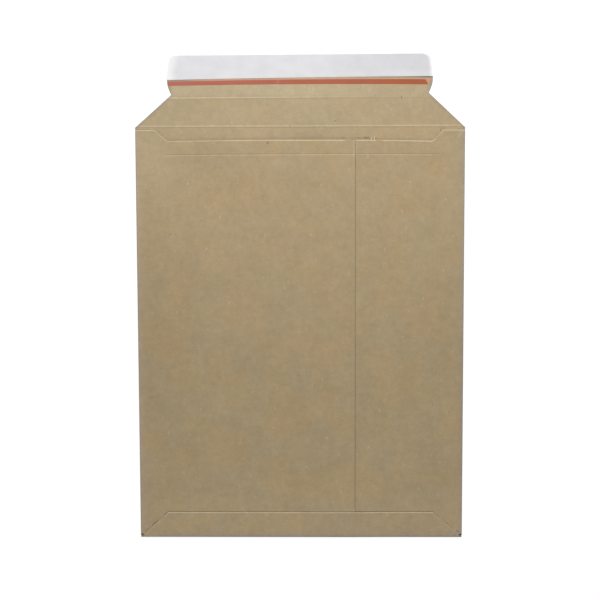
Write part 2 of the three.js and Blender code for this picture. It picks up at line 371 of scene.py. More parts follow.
def mouth_top(x):
    """The front panels' upper edge: shoulders, a recess with slanted ends, and two torn nibs."""
    samples = np.linspace(-RECESS_ROUND, RECESS_ROUND, 9)
    left = np.mean([1.0 - ramp(x + d, *RECESS_LEFT) for d in samples], axis=0)
    right = np.mean([ramp(x + d, *RECESS_RIGHT) for d in samples], axis=0)
    floor_y = bowed_line(x, RECESS, 0.0, RECESS_ARCH)
    top = floor_y + (SHOULDER - floor_y) * np.maximum(left, right)
    for place, length in NIBS:
        top = np.where(np.abs(x - place) < NIB_WIDTH / 2, RECESS + length, top)
    return top


def relief_line(x):
    return bowed_line(x, RELIEF_Y, RELIEF_SLANT, RELIEF_ARCH)


def rear_columns():
    """Columns across the rear panel, from right to left."""
    edge = both_sides((BEND_X, WRAP_ROOT, WRAP_ROOT - RIM_GAP, *rim(FLAP_ROOT)))
    return spaced(-BEND_X, BEND_X, MESH_STEP, extra=edge)[::-1]


def front_columns():
    """Columns across the narrow panel on the right and the wide one on the left."""
    bend_edge = [BEND_X - inside for inside in BEND_COLUMNS]
    nib_edges = [
        place + side * NIB_WIDTH * reach
        for place, _ in NIBS
        for side in (-1, 1)
        for reach in NIB_COLUMNS
    ]
    right = spaced(
        HIDDEN_X, BEND_X, MESH_STEP,
        extra=(*rim(HIDDEN_X, 1), *nib_edges, *bend_edge, BEND_X),
        fine=((RECESS_RIGHT[0] - 1, RECESS_RIGHT[1] + 1, RECESS_STEP), DENT_COLUMNS),
    )
    left = spaced(
        -BEND_X, SEAM_X, MESH_STEP,
        extra=(-BEND_X, *(-v for v in bend_edge), *rim(SEAM_X)),
        fine=((RECESS_LEFT[0] - 1, RECESS_LEFT[1] + 1, RECESS_STEP),),
    )
    return right, left


def section():
    """Columns round the pocket in the order of the blank: right panel, rear panel, left panel."""
    right, left = front_columns()
    rear = rear_columns()
    angles = np.linspace(math.pi / 2, -math.pi / 2, FOLD_STEPS + 1)[1:-1]
    arc_x = BEND_X + FOLD_RADIUS * np.cos(angles)
    arc_z = FRONT_Z - FOLD_RADIUS + FOLD_RADIUS * np.sin(angles)
    right_z = np.full_like(right, FRONT_Z)
    rear_z = np.full_like(rear, BOARD / 2)
    x = np.concatenate([right, arc_x, rear, -arc_x[::-1], left])
    z = np.concatenate([right_z, arc_z, rear_z, arc_z[::-1], FRONT_Z + lift(left)])
    rear_part = slice(len(right) + len(arc_x), len(right) + len(arc_x) + len(rear))
    along = np.concatenate([[0.0], np.cumsum(np.hypot(np.diff(x), np.diff(z)))])
    along -= along[rear_part].mean()
    return x, z, along, rear_part


SECTION_X, SECTION_Z, SECTION_U, REAR = section()


def past_root(x):
    """How far a column lies outside the closure flap's root."""
    return np.clip(np.abs(x) - FLAP_ROOT, 0.0, None)


def sleeve_rows(x, raised, on_rear):
    """Heights of the rows, from each column's lower end up to its upper one."""
    rear_top = HEIGHT - TAB_CORNER * past_root(x) / (BEND_X - FLAP_ROOT)
    front_top = np.where(np.abs(x) < BEND_X, mouth_top(x), SHOULDER)
    top = np.where(on_rear > 0, rear_top, front_top)
    opened = ramp(np.abs(x), CORNER_OPEN_X - CORNER_OPEN_RUN, CORNER_OPEN_X)
    opened = opened * ramp(raised, *CORNER_OPEN_TURN) * (1 - on_rear)
    bottom = WRAP_Y + (CORNER_OPEN - WRAP_Y) * opened
    common = spaced(BOTTOM_ZONE, MOUTH_ZONE, MESH_STEP, fine=(RELIEF_ROWS,))
    rows = [bottom + (BOTTOM_ZONE - bottom) * share for share in BOTTOM_ROWS]
    rows += [np.full_like(x, level) for level in common]
    rows += [MOUTH_ZONE + (top - TOP_ROWS[0] - MOUTH_ZONE) * share for share in MOUTH_ROWS]
    rows += [top - inside for inside in TOP_ROWS]
    return np.concatenate(rows)


def sleeve():
    """The panels round the pocket, from the bottom fold up to the mouth and to the flap's fold."""
    x = SECTION_X[None, :]
    raised = ramp(SECTION_Z, BOARD / 2, FRONT_Z)[None, :]
    on_front = raised >= 1.0
    on_rear = np.zeros_like(x)
    on_rear[0, REAR] = 1.0
    y = sleeve_rows(x, raised, on_rear)

    widened = eased(y, *TAB_STARTS) * on_rear
    stretch = (HALF - FLAP_ROOT) / (BEND_X - FLAP_ROOT) - 1.0
    placed_x = np.sign(x) * (np.abs(x) + past_root(x) * stretch * widened)

    inset = eased(HALF - np.abs(x), *UNEVEN_BESIDE)
    inset = inset * eased(y, WRAP_TOP, WRAP_TOP + UNEVEN_ABOVE)
    uneven = panel_waves(x, y) * inset * np.where(raised > 0, 1.0, REAR_SHARE)
    creased = smooth(within(x, *RELIEF, RELIEF_FADE)) * on_front
    valley = RELIEF_DEPTH * bead(y, relief_line(x), RELIEF_WIDTH) * creased
    root_bead = BEAD_HEIGHT * bead(y - HEIGHT, ROOT_BEAD + ROOT_SLANT * x, BEAD_WIDTH) * on_rear
    z = SECTION_Z[None, :] + raised * spring(x, y) + uneven
    z = z - valley + root_bead + dent(x, y) * on_front
    return as_patch(placed_x, y, z, SECTION_U[None, :], y)


def dent(x, y):
    """A pinched fold across the front panel's upper right corner."""
    (ax, ay), (bx, by) = DENT
    run_x = bx - ax
    run_y = by - ay
    along = ((x - ax) * run_x + (y - ay) * run_y) / (run_x**2 + run_y**2)
    along = np.clip(along, 0.0, 1.0)
    away = np.hypot(x - ax - along * run_x, y - ay - along * run_y)
    return DENT_HEIGHT * np.exp(-((away / DENT_WIDTH) ** 2))


def as_patch(x, y, z, u, v):
    """A grid of the middle surface: its places, and where each point lies in the flat blank."""
    x, y, z, u, v = np.broadcast_arrays(x, y, z, u, v)
    return np.stack([x, y, z], axis=-1), np.stack([u, v], axis=-1)


def drawn_in(root, full, half, border):
    """Distances from the middle, drawn in from a full half width; the border's columns keep apart."""
    away = np.abs(root)
    inner = full - border
    return np.where(away >= inner, half - (full - away), away * (half - border) / inner)


def wrap_levels():
    """Heights of the bottom flap's rows on the front panels, from its top edge down."""
    edge = (*rim(WRAP_TOP), WRAP_ROOT_RISE)
    return spaced(WRAP_Y, WRAP_TOP, WRAP_MESH_STEP, extra=edge)[::-1][:, None]


def bottom_wrap():
    """The rear panel's turn round the bottom and the flap that is glued to the front panels."""
    rear_x = SECTION_X[REAR]
    root = rear_x[np.abs(rear_x) <= WRAP_ROOT][None, :]
    levels = wrap_levels()
    top_half = np.where(root < 0, *WRAP_TOP_HALF)
    half = WRAP_ROOT + (top_half - WRAP_ROOT) * ramp(levels, WRAP_ROOT_RISE, WRAP_TOP)
    scaled = drawn_in(root, WRAP_ROOT, half, WRAP_ROOT - FLAP_ROOT + RIM_BAND)
    flare = WRAP_FLARE * ramp(np.abs(root), FLAP_ROOT - WRAP_FLARE_WIDTH, WRAP_ROOT)
    x_flat = np.sign(root) * (scaled + flare * (1.0 - ramp(levels, WRAP_Y, WRAP_ROOT_RISE)))
    over_front = FRONT_Z + BOARD
    z_flat = over_front + lift_past_seam(x_flat)

    angles = np.linspace(math.pi / 2, -math.pi / 2, WRAP_STEPS + 1)[1:][:, None]
    tall = (over_front + lift_past_seam(root) - BOARD / 2) / 2
    x_turn = np.sign(root) * (np.abs(root) + flare * eased(angles, -math.pi / 2, 0.0))
    y_turn = WRAP_Y - WRAP_RADIUS * np.cos(angles) + 0.0 * root
    z_turn = BOARD / 2 + tall + tall * np.sin(angles)

    turn_length = math.pi * (WRAP_RADIUS + tall) / 2
    v_flat = WRAP_Y - turn_length - (levels - WRAP_Y)
    v_turn = WRAP_Y - turn_length * (angles + math.pi / 2) / math.pi
    x = np.concatenate([x_flat, x_turn])
    y = np.concatenate([levels + 0.0 * root, y_turn])
    return as_patch(x, y, np.concatenate([z_flat, z_turn]), -x, np.concatenate([v_flat, v_turn]))


def flap_half(y, grow=0.0):
    """Half the closure flap's width at a height above its fold."""
    taper = FLAP_ROOT + (NOTCH_HALF + grow - FLAP_ROOT) * ramp(y, 0.0, NOTCH_Y)
    rise = NOTCH_CURVE - NOTCH_Y
    curve = STRIP_Y - NOTCH_Y - 2.0 * rise
    t = (-rise + np.sqrt(rise**2 + curve * np.clip(y - NOTCH_Y, 0.0, STRIP_Y - NOTCH_Y))) / curve
    flare = (STRIP_HALF - NOTCH_HALF) * (1.0 - (1.0 - t) ** 2)
    corner = STRIP_CORNER + grow
    narrow = (STRIP_END_HALF - STRIP_HALF) * ramp(y, STRIP_STRAIGHT, FLAP_END + grow - corner)
    into = np.clip(y - (FLAP_END + grow - corner), 0.0, corner)
    round_off = corner - np.sqrt(np.clip(corner**2 - into**2, 0.0, None))
    return taper + flare + narrow - round_off


def lean(x, y):
    """The whole flap is cut slightly out of square: from its notch on it leans up to the right."""
    return y + END_SLANT * x * ramp(y, 0.0, NOTCH_Y)


def flap_levels(grow=0.0):
    """Heights above the fold, closer together at the creases, the notch and the round corners."""
    corner = STRIP_CORNER + grow
    turn = np.linspace(0.0, math.pi / 2, CORNER_STEPS + 1)
    corner_levels = FLAP_END + grow - corner + corner * np.sin(turn)
    gap = BEAD_WIDTH / 8
    reach = BEAD_WIDTH / 2 + 2.0 * gap
    levels = spaced(
        0.0, corner_levels[0], FLAP_MESH_STEP,
        extra=(0.0, *NOTCH_ROWS, STRIP_Y, corner_levels[0]),
        fine=((gap, ROOT_BEAD + reach, gap), (SPINE_CREASE - reach, SPINE_CREASE + reach, gap)),
    )
    return np.unique(np.concatenate([levels, corner_levels[1:], rim(FLAP_END + grow)[1:]]))


def on_creases(x, y):
    """The flap's two creases, one at the fold's crown; the second is flatter and fades to its ends."""
    root = bead(y, ROOT_BEAD + ROOT_SLANT * x, BEAD_WIDTH)
    share = SPINE_SHARE[0] + SPINE_SHARE[1] * (1.0 - np.clip(x / NOTCH_HALF, -1.0, 1.0) ** 2)
    return root + share * bead(y, SPINE_CREASE + SPINE_SLANT * x, BEAD_WIDTH)


def flap_rise(x, y):
    """How far the flap's middle surface is lifted by creases and unevenness; y is from the fold."""
    return BEAD_HEIGHT * on_creases(x, y) + eased(y, *FLAP_UNEVEN_FROM) * flap_waves(x, y)


def closure_flap():
    """The closure flap, continuous with the rear panel at its fold."""
    rear_x = SECTION_X[REAR]
    root = rear_x[np.abs(rear_x) <= FLAP_ROOT][None, :]
    levels = flap_levels()[:, None]
    x = np.sign(root) * drawn_in(root, FLAP_ROOT, flap_half(levels), RIM_BAND)
    y = lean(x, levels)
    z = BOARD / 2 + flap_rise(x, y)
    return as_patch(x, HEIGHT + y, z, -x, HEIGHT + y)


def grid_faces(rows, columns):
    first = (np.arange(rows - 1)[:, None] * columns + np.arange(columns - 1)[None, :]).reshape(-1)
    return np.stack([first, first + 1, first + columns + 1, first + columns], axis=1)


def joined(patches):
    """Joins patches where they share a place in the flat blank."""
    points, flat, faces, start = [], [], [], 0
    for places, blank in patches:
        rows, columns = places.shape[:2]
        points.append(places.reshape(-1, 3))
        flat.append(blank.reshape(-1, 2))
        faces.append(grid_faces(rows, columns) + start)
        start += rows * columns
    points, flat, faces = np.concatenate(points), np.concatenate(flat), np.concatenate(faces)
    keys = np.round(flat * KEYS_PER_MM + KEY_SHIFT).astype(np.int64)
    _, first, index = np.unique(keys, axis=0, return_index=True, return_inverse=True)
    return points[first], flat[first], index.reshape(-1)[faces]


def vertex_normals(points, faces):
    a, b, c, d = (points[faces[:, i]] for i in range(4))
    across = np.cross(c - a, d - b)
    normals = np.zeros_like(points)
    for i in range(4):
        np.add.at(normals, faces[:, i], across)
    return normals / np.maximum(np.linalg.norm(normals, axis=1, keepdims=True), 1e-12)


def open_edges(faces, count):
    """The edges that only one face uses, in the direction that the face runs."""
    start = faces.reshape(-1)
    end = np.roll(faces, -1, axis=1).reshape(-1)
    alone = ~np.isin(start * count + end, end * count + start)
    return start[alone], end[alone]


def distance_to_edges(flat, start, end, chunk=2000):
    """How far each point of the blank lies from the nearest cut edge."""
    a, along = flat[start], flat[end] - flat[start]
    length = np.maximum((along**2).sum(axis=1), 1e-12)
    nearest = np.empty(len(flat))
    for low in range(0, len(flat), chunk):
        away = flat[low:low + chunk, None, :] - a[None]
        t = np.clip((away * along).sum(axis=2) / length, 0.0, 1.0)
        nearest[low:low + chunk] = np.linalg.norm(away - t[..., None] * along, axis=2).min(axis=1)
    return nearest


def thickened(points, flat, faces, thickness, crush=CRUSH):
    """Two faces and a rim round a middle surface; cut edges are crushed a little thinner."""
    normals = vertex_normals(points, faces)
    start, end = open_edges(faces, len(points))
    margin = distance_to_edges(flat, start, end)
    half = thickness / 2 * np.where(margin < 0.01, crush, 1.0)[:, None]
    count = len(points)
    rim = np.stack([end, start, start + count, end + count], axis=1)
    return {
        "points": np.concatenate([points + half * normals, points - half * normals]),
        "flat": np.concatenate([flat, flat]),
        "side": np.repeat([1.0, -1.0], count),
        "margin": np.concatenate([margin, margin]),
        "faces": np.concatenate([faces, faces[:, ::-1] + count, rim]),
    }


def linked(name, data):
    """An object that holds the data, in the scene."""
    made = bpy.data.objects.new(name, data)
    bpy.context.scene.collection.objects.link(made)
    return made


def to_object(name, sheet, marks):
    """A mesh object in metres, whose points store their places on the blank and at rest, and marks."""
    places = sheet["points"] * MM + np.array([0.0, BOTTOM_Y, 0.0])
    mesh = bpy.data.meshes.new(name)
    mesh.from_pydata(places.tolist(), [], sheet["faces"].tolist())
    mesh.validate()
    mesh.polygons.foreach_set("use_smooth", [True] * len(mesh.polygons))
    mesh.set_sharp_from_angle(angle=SHARP_ANGLE)
    vectors = {"blank": np.column_stack([sheet["flat"], sheet["side"]]), "place": sheet["points"]}
    for key, values in vectors.items():
        stored = mesh.attributes.new(key, "FLOAT_VECTOR", "POINT").data
        stored.foreach_set("vector", values.astype(np.float32).reshape(-1))
    for mark, values in marks.items():
        mesh.attributes.new(mark, "FLOAT", "POINT").data.foreach_set("value", values.astype(np.float32))
    return linked(name, mesh)


def pale_and_lit_edge(x, y):
    """How much of the pale cut edge, partly a painted highlight, shows along the front panels."""
    to_right = ramp(x, *PALE_RUN)
    shown = np.zeros_like(x)
    for height, left, right in PALE_EDGES:
        shown = np.where(y >= height, left + (right - left) * to_right, shown)
    overlap = within(x, HIDDEN_X - PALE_FADE, SEAM_X + PALE_FADE, PALE_FADE)
    hidden = np.maximum(overlap, within(x, *NO_PALE_EDGE)) * (y > WRAP_TOP + 1.0)
    nibs = (x > NIBS[0][0] - 1.0) & (x < NIBS[1][0] + 1.0)
    return np.where(nibs, 1.0, shown * (1.0 - PALE_HIDDEN * hidden))


def board_marks(sheet):
    """Which parts of the board are front panels or flap, where it is cut, and where wear, painted shade
    and painted light lie.
    """
    x, y, z = sheet["points"].T
    u, v = sheet["flat"].T
    on_rear = np.abs(u) <= BEND_X
    high = z > FRONT_Z - BOARD / 2
    on_sleeve_front = ~on_rear & high
    on_front = on_sleeve_front | ((v < WRAP_Y - 0.1) & high)
    edge = 1.0 - ramp(sheet["margin"], EDGE_CORE, RIM_BAND)
    soft_edge = GREY_SHARE * (1.0 - ramp(sheet["margin"], *GREY_WIDTH))
    side_width = np.where(x < 0, *SIDE_WEAR_AND_SHADE_WIDTH)
    side = 1.0 - eased(HALF - np.abs(x), SIDE_WEAR_AND_SHADE_FROM, side_width)
    turn = 1.0 - eased(y, *BOTTOM_WEAR_AND_SHADE)
    spine = HEIGHT + SPINE_CREASE
    paler = PALER_AT_MOUTH * ramp(y, RECESS - PALER_MOUTH_RUN, RECESS)
    paler = paler + PALER_AT_SPINE * ramp(y, spine, spine + PALER_SPINE_RUN)
    return {
        "front": on_sleeve_front * 1.0,
        "inner": on_rear & (sheet["side"] < 0),
        # pale cut edges, partly painted highlight
        "paled_and_lit": edge * on_front * pale_and_lit_edge(x, y),
        "greyed": np.maximum(edge, soft_edge) * (on_rear & (y > SHOULDER)),
        # wear with painted shade on the side folds and the bottom fold
        "worn_and_shaded": np.clip(np.where(y < SHOULDER, side, 0.0) + turn, 0.0, 1.0),
        "pinched": dent(x, y) / DENT_HEIGHT * on_sleeve_front,
        # painted light: the flap and the rear panel above the mouth painted paler
        "flap": on_rear * paler,
    }


def board_sheet():
    """The whole folded sheet as one mesh."""
    patches = [sleeve(), bottom_wrap(), closure_flap()]
    sheet = thickened(*joined(patches), BOARD)
    return to_object("board_sheet", sheet, board_marks(sheet))


def strip_shares(rows):
    """Shares of a strip's width for its rows, with one close inside each edge."""
    return np.array(sorted({0.0, 0.04, 0.96, 1.0, *np.linspace(0.0, 1.0, rows)}))[:, None]


def strip_places(left, right, step=2.0):
    """Places along a strip, from the left end of each row to its right one."""
    length = right - left
    return left + length * np.linspace(0.0, 1.0, round(length[-1, 0] / step) + 1)


def film(x, y, above, thickness, crush):
    """A thin sheet that lies a little above the flap's board; y is from the fold."""
    z = BOARD + thickness / 2 + flap_rise(x, y) + above
    patch = as_patch(x, HEIGHT + y, z, x, HEIGHT + y)
    return thickened(*joined([patch]), thickness, crush)


def tear_tape():
    """A thin red film across the flap, with a pale upper border and slanted off on the right."""
    share = strip_shares(rows=5)
    x = strip_places(TAPE_LEFT, TAPE_RIGHT[0] + (TAPE_RIGHT[1] - TAPE_RIGHT[0]) * share)
    width = TAPE_CORE + TAPE_WIDENING * x + TAPE_BORDER
    y = bowed_line(x, TAPE_NEAR, TAPE_SLANT, TAPE_ARCH) + width * share
    short, long = TAPE_RIPPLE_LENGTHS
    ripple = TAPE_RIPPLE * np.sin(x / short) * np.sin(x / long)
    sheet = film(x, y, ripple, TAPE_THICK, crush=1.0)
    px, _, _ = sheet["points"].T
    marks = {
        "along": ramp(px, -STRIP_HALF, STRIP_HALF),
        "notch": np.exp(-(((px - TAPE_MARK) / TAPE_MARK_WIDTH) ** 2)),
    }
    return to_object("tear_tape_film", sheet, marks)


def adhesive_strip():
    """The pressure-sensitive adhesive under the liner, with soft rounded ends."""
    share = strip_shares(rows=9)
    rounded = 1.0 - np.sqrt(1.0 - (share * 2.0 - 1.0) ** 2)
    end = ADHESIVE_HALF - ADHESIVE_ROUND * rounded
    x = strip_places(-end, end)
    y = ADHESIVE_NEAR + END_SLANT * x + ADHESIVE_WIDTH * share
    return to_object("adhesive_layer", film(x, y, 0.0, ADHESIVE_THICK, crush=0.4), {})


def liner_levels():
    """Heights of the liner's rows, closer together at its edges and at the flap's round corners."""
    levels = flap_levels(LINER_OVERHANG)
    levels = levels[levels > LINER_NEAR + 1.0]
    return np.unique(np.concatenate([levels, rim(LINER_NEAR, 1)]))[:, None]


def liner_rise(x, y, share):
    """How far the liner lies above the board: over the glue, and curled up along its near edge."""
    before, beside = ADHESIVE_SLOPE
    over_glue = eased(y, ADHESIVE_NEAR - before, ADHESIVE_NEAR)
    over_glue = over_glue * eased(ADHESIVE_HALF - np.abs(x), -beside, 0.0)
    curl = LINER_CURL * eased(x, *LINER_CURL_FROM)
    curl = curl * (1.0 - eased(share, 0.0, LINER_CURL_SHARE))
    curl = curl + LINER_LIFT * (1.0 - eased(share, 0.0, LINER_LIFT_SHARE))
    return LINER_GAP + (ADHESIVE_THICK - LINER_GAP) * over_glue + curl + liner_waves(x, y * 1.6)


def release_liner():
    """The release paper over the adhesive, a little wider than the strip of board under it."""
    level = liner_levels()
    share = (level - LINER_NEAR) / (FLAP_END + LINER_OVERHANG - LINER_NEAR)
    edge = both_sides((1.0, 1.0 - RIM_GAP / STRIP_HALF, 1.0 - RIM_BAND / STRIP_HALF))
    x = flap_half(level, LINER_OVERHANG) * spaced(-1.0, 1.0, LINER_MESH_STEP / STRIP_HALF, edge)
    near_shift = bowed_line(x, 0.0, LINER_SLANT - END_SLANT, LINER_ARCH) * (1.0 - share)
    y = lean(x, level) + near_shift
    sheet = film(x, y, liner_rise(x, y, share), LINER_THICK, crush=0.7)
    px, py, _ = sheet["points"].T
    from_end = flap_half(py - HEIGHT, LINER_OVERHANG) - np.abs(px)
    reach = np.where(px < 0, *LINER_FADE)
    # painted light whitens the liner towards its ends
    return to_object("liner_paper", sheet, {"end": 1.0 - eased(from_end, 0.2, reach)})


# materials


class Shader:
    """One material, whose nodes are added by small steps that read in order."""

    COLOUR_A, COLOUR_B, COLOUR_OUT = 6, 7, 2

    def __init__(self, name):
        self.material = bpy.data.materials.new(name)
        self.material.use_nodes = True
        self.tree = self.material.node_tree
        self.surface = self.tree.nodes["Principled BSDF"]

    def feed(self, socket, value):
        if isinstance(value, bpy.types.NodeSocket):
            self.tree.links.new(value, socket)
        else:
            socket.default_value = value

    def node(self, kind, inputs=None, **settings):
        made = self.tree.nodes.new(kind)
        for key, value in settings.items():
            setattr(made, key, value)
        for key, value in (inputs or {}).items():
            self.feed(made.inputs[key], value)
        return made

    def mark(self, name):
        return self.node("ShaderNodeAttribute", attribute_name=name).outputs["Fac"]

    def blank(self, stretch=(1.0, 1.0), turn=0.0):
        """Coordinates of the flat blank in millimetres, stretched along its two directions."""
        place = self.node("ShaderNodeAttribute", attribute_name="blank").outputs["Vector"]
        mapping = {"Vector": place, "Scale": (*stretch, 1.0), "Rotation": (0.0, 0.0, turn)}
        return self.node("ShaderNodeMapping", mapping).outputs["Vector"]

    def place(self):
        """Where a point lies when the envelope is at rest, in millimetres from the bottom fold."""
        return self.node("ShaderNodeAttribute", attribute_name="place").outputs["Vector"]

    def parts(self, vector):
        made = self.node("ShaderNodeSeparateXYZ", {"Vector": vector})
        return made.outputs["X"], made.outputs["Y"]

    def noise(self, size, detail=2.0, stretch=(1.0, 1.0), turn=0.0, distortion=0.0):
        """Noise of about a size in millimetres, from zero to one round a half."""
        inputs = {
            "Vector": self.blank(stretch, turn),
            "Scale": 1.0 / size,
            "Detail": detail,
            "Distortion": distortion,
        }
        return self.node("ShaderNodeTexNoise", inputs).outputs["Fac"]

    def flecks(self, apart, radius, stretch=(1.0, 1.0), turn=0.0):
        """Small spots scattered about a distance apart, one at their middle and zero outside."""
        inputs = {"Vector": self.blank(stretch, turn), "Scale": 1.0 / apart}
        cells = self.node("ShaderNodeTexVoronoi", inputs, voronoi_dimensions="2D")
        return self.fade(cells.outputs["Distance"], radius / apart, radius * 0.3 / apart)

    def fade(self, value, low, high):
        """One where the value is at high, zero where it is at low, and smooth between."""
        inputs = {"Value": value, "From Min": low, "From Max": high}
        made = self.node("ShaderNodeMapRange", inputs, interpolation_type="SMOOTHSTEP")
        return made.outputs["Result"]

    def maths(self, operation, a, b=0.0):
        made = self.node("ShaderNodeMath", operation=operation)
        self.feed(made.inputs[0], a)
        self.feed(made.inputs[1], b)
        return made.outputs[0]

    def most(self, a, b):
        return self.maths("MAXIMUM", a, b)

    def rest(self, value):
        """What a share leaves of the whole."""
        return self.maths("SUBTRACT", 1.0, value)

    def past(self, x, y, middle, slant=0.0, arch=0.0):
        """How far y is past a line that leans with x and is arched over the mouth's width."""
        sag = self.product(x, x, -arch / RECESS_RIGHT[0] ** 2)
        line_y = self.maths("ADD", self.product(x, slant), sag)
        return self.maths("SUBTRACT", self.maths("SUBTRACT", y, middle + arch), line_y)

    def between(self, value, low, high, run):
        """One from low to high, and fading to zero over a short run inside each of them."""
        return self.product(self.fade(value, low, low + run), self.fade(value, high, high - run))

    def stripe(self, distance, centre, width):
        """One where a distance is the centre's, zero half a width from it."""
        away = self.maths("ABSOLUTE", self.maths("SUBTRACT", distance, centre))
        return self.fade(away, width / 2, 0.0)

    def spot(self, place, centre, radii):
        """One at the middle of an oval spot, zero outside it."""
        away = self.node("ShaderNodeVectorMath", {0: place, 1: (*centre, 0.0)}, operation="SUBTRACT")
        shares = (1.0 / radii[0], 1.0 / radii[1], 0.0)
        share = self.node("ShaderNodeVectorMath", {0: away.outputs[0], 1: shares}, operation="MULTIPLY")
        length = self.node("ShaderNodeVectorMath", {0: share.outputs[0]}, operation="LENGTH")
        return self.fade(length.outputs["Value"], 1.0, 0.2)

    def swing(self, value, amount):
        """Turns a value round a half into a factor round one."""
        return self.maths("ADD", self.product(value, amount), 1.0 - amount / 2)

    def product(self, *values):
        total = values[0]
        for value in values[1:]:
            total = self.maths("MULTIPLY", total, value)
        return total

    def mix(self, factor, a, b):
        made = self.node("ShaderNodeMix", data_type="RGBA")
        self.feed(made.inputs["Factor"], factor)
        self.feed(made.inputs[self.COLOUR_A], a)
        self.feed(made.inputs[self.COLOUR_B], b)
        return made.outputs[self.COLOUR_OUT]

    def scaled(self, colour, factor):
        made = self.node("ShaderNodeVectorMath", operation="SCALE")
        self.feed(made.inputs[0], colour)
        self.feed(made.inputs["Scale"], factor)
        return made.outputs[0]

    def bump(self, height, depth):
        """Relief whose depth is in millimetres."""
        made = self.node("ShaderNodeBump", {"Height": height, "Distance": depth * MM, "Strength": 1.0})
        self.feed(self.surface.inputs["Normal"], made.outputs["Normal"])

    def finish(self, colour, **settings):
        self.feed(self.surface.inputs["Base Color"], colour)
        for key, value in settings.items():
            self.feed(self.surface.inputs[key.replace("_", " ")], value)
        return self.material


BOARD_COLOUR = (0.468, 0.365, 0.218, 1.0)
BOARD_WARM = (0.483, 0.359, 0.201, 1.0)
# a paler colour: painted light on the flap, and the pale clouds on the outside
FLAP_COLOUR = (0.550, 0.446, 0.284, 1.0)
FIBRE_COLOUR = (0.640, 0.540, 0.385, 1.0)
SPECK_COLOUR = (0.270, 0.200, 0.120, 1.0)
# pale cut fibres, also the colour of painted highlights on lit edges and creases
CUT_AND_HIGHLIGHT_COLOUR = (0.760, 0.655, 0.475, 1.0)
EDGE_GREY = (0.335, 0.298, 0.255, 1.0)
# the folds' wear with painted shade: lighter grey on the left fold, darker grey elsewhere
LEFT_FOLD_WEAR_AND_SHADE_COLOUR = (0.505, 0.395, 0.285, 1.0)
FOLD_WEAR_AND_SHADE_COLOUR = (0.412, 0.347, 0.282, 1.0)
# the colour of stains and of painted shadows
STAIN_AND_SHADE_COLOUR = (0.120, 0.085, 0.055, 1.0)
TAPE_LEFT_COLOUR = (0.480, 0.141, 0.095, 1.0)
TAPE_RIGHT_COLOUR = (0.392, 0.090, 0.026, 1.0)
TAPE_PALE = (0.600, 0.260, 0.190, 1.0)
TAPE_BORDER_COLOUR = (0.640, 0.390, 0.270, 1.0)
LINER_COLOUR = (0.820, 0.815, 0.840, 1.0)
LINER_SHADE = (0.770, 0.762, 0.790, 1.0)
# painted light at the liner's ends
LINER_LIT_END_COLOUR = (0.980, 0.980, 0.980, 1.0)
ADHESIVE_COLOUR = (0.820, 0.760, 0.580, 1.0)
ADHESIVE_DEEP = (0.720, 0.650, 0.460, 1.0)

# stains and painted shadows inside the rear panel and the flap, as a middle, two radii and a strength
INNER_STAINS_AND_SHADOWS = (
    # painted shade in the gap under the front panels' edge, along the mouth
    ((32.8, HEIGHT - 8.7), (2.2, 1.0), 0.35),
    ((45.0, HEIGHT - 8.9), (2.6, 0.9), 0.3),
    ((50.2, HEIGHT - 8.7), (4.0, 1.2), 0.45),
    ((57.4, HEIGHT - 9.5), (0.7, 0.6), 0.6),
    # painted contact shadows at the right shoulder
    ((106.6, HEIGHT - 1.8), (0.7, 0.7), 0.6),
    ((106.6, HEIGHT - 3.4), (0.7, 0.8), 0.6),
    ((108.8, HEIGHT - 1.4), (1.1, 0.6), 0.5),
    # painted shadow under the liner's near edge
    ((96.0, HEIGHT + 37.3), (13.0, 0.9), 0.65),
    ((-92.0, HEIGHT + 34.9), (13.0, 0.8), 0.35),
    # painted shade beside the recess's left slanted end
    ((-107.4, HEIGHT - 4.2), (1.9, 1.3), 0.15),
    ((-104.9, HEIGHT - 6.3), (1.9, 1.3), 0.15),
    ((-102.4, HEIGHT - 8.6), (1.9, 1.3), 0.12),
    # stains
    ((76.8, HEIGHT + 21.8), (0.5, 1.9), 0.55),
    ((98.8, HEIGHT + 32.2), (2.6, 3.6), 0.14),
    ((-98.0, HEIGHT + 29.0), (1.6, 2.6), 0.12),
    ((26.6, HEIGHT + 4.2), (0.8, 1.0), 0.4),
    ((-41.5, HEIGHT + 1.2), (0.5, 2.4), 0.3),
    ((-7.6, HEIGHT + 0.8), (0.5, 2.4), 0.25),
)

# painted shade in the dark openings at the two bottom corners
CORNER_SHADOWS = (
    ((-WRAP_ROOT + 0.4, 2.1), (1.9, 1.7), 0.85),
    ((WRAP_ROOT - 0.4, 2.1), (1.9, 1.7), 0.85),
)

# stains on the front panels: a dark dash in the seam, one at the bottom right corner, and a dot
FRONT_STAINS = (
    ((SEAM_X + 0.2, HEIGHT - 14.3), (0.5, 1.8), 0.45),
    ((121.6, 5.0), (1.5, 1.0), 0.4),
    ((-24.2, HEIGHT - 12.1), (0.8, 1.3), 0.5),
)

# paler clouds on the outside, at the upper left corner and along the bottom
PALE_CLOUDS = (
    ((-112.0, HEIGHT - 22.0), (44.0, 40.0), 0.4),
    ((0.0, 0.0), (320.0, 62.0), 0.2),
)

# the stretches of the bottom flap's slanted edges that stand open
OPEN_EDGES = (
    ((-104.8, 18.4), (2.6, 2.6), 1.0),
    ((-113.4, 10.8), (4.4, 4.4), 1.0),
    ((-119.3, 5.6), (4.0, 4.0), 0.45),
    ((114.2, 11.6), (2.4, 2.4), 1.0),
    ((106.0, 17.4), (3.2, 3.2), 0.3),
)

